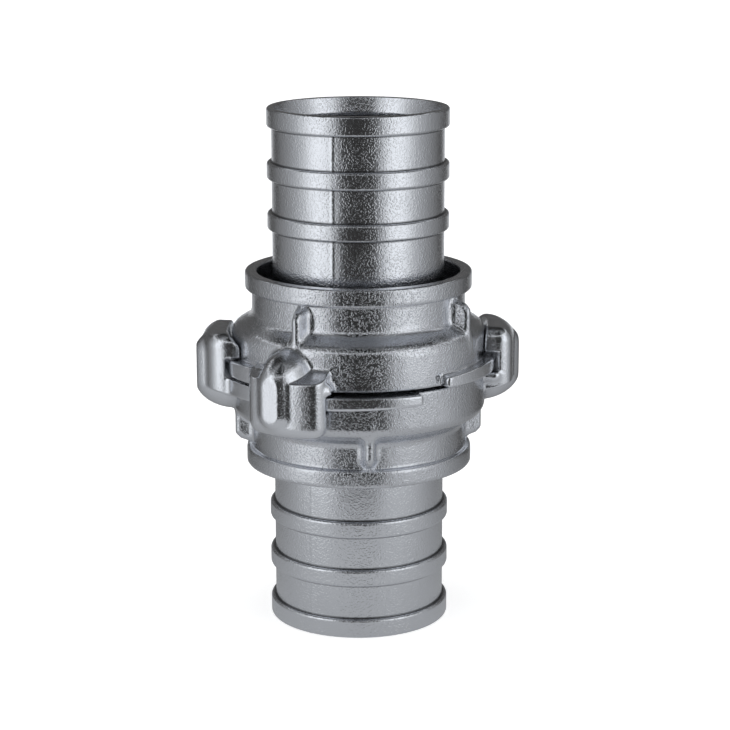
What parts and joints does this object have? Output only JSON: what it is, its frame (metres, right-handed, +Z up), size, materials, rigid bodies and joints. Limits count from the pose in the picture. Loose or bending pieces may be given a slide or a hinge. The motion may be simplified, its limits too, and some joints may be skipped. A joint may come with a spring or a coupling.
{
  "type": "claw hose coupling",
  "caption": "Mated pair of cast claw couplings for fire hose: ribbed hose tails, turning claw rings that lock under ramped ledges, face seals and stop rings.",
  "frame": {"origin": "centre of the lower hose end, on the axis of the waterway", "axes": "+Z up along the waterway from the lower hose end to the upper one; -Y is the front, with one claw of the upper ring left of centre"},
  "size_m": [0.1408, 0.1262, 0.2246],
  "materials": {
    "tail_casting": "satin cast, tumbled",
    "ring_casting": "satin cast, tumbled, finely pebbled",
    "seal_rubber": "matt moulded rubber",
    "spring_wire": "drawn spring wire"
  },
  "bodies": {
    "lower_tail": {"lower_hose_tail": "tail_casting", "lower_face_seal": "seal_rubber", "lower_stop_ring": "spring_wire"},
    "lower_ring": {"lower_claw_ring": "ring_casting"},
    "upper_ring": {"upper_claw_ring": "ring_casting"},
    "upper_tail": {"upper_hose_tail": "tail_casting", "upper_face_seal": "seal_rubber", "upper_stop_ring": "spring_wire"}
  },
  "joints": [
    {"name": "lower_ring_swivel", "type": "hinge", "parent": "lower_tail", "child": "lower_ring", "pos_m": [0, 0, 0.1123], "axis": [0, 0, 1], "continuous": true},
    {"name": "unlocking_turn", "type": "hinge", "parent": "lower_ring", "child": "upper_ring", "pos_m": [0, 0, 0.1123], "axis": [0, 0, 1], "range_deg": [0, 85]},
    {"name": "upper_tail_swivel", "type": "hinge", "parent": "upper_ring", "child": "upper_tail", "pos_m": [0, 0, 0.1123], "axis": [0, 0, 1], "continuous": true}
  ]
}
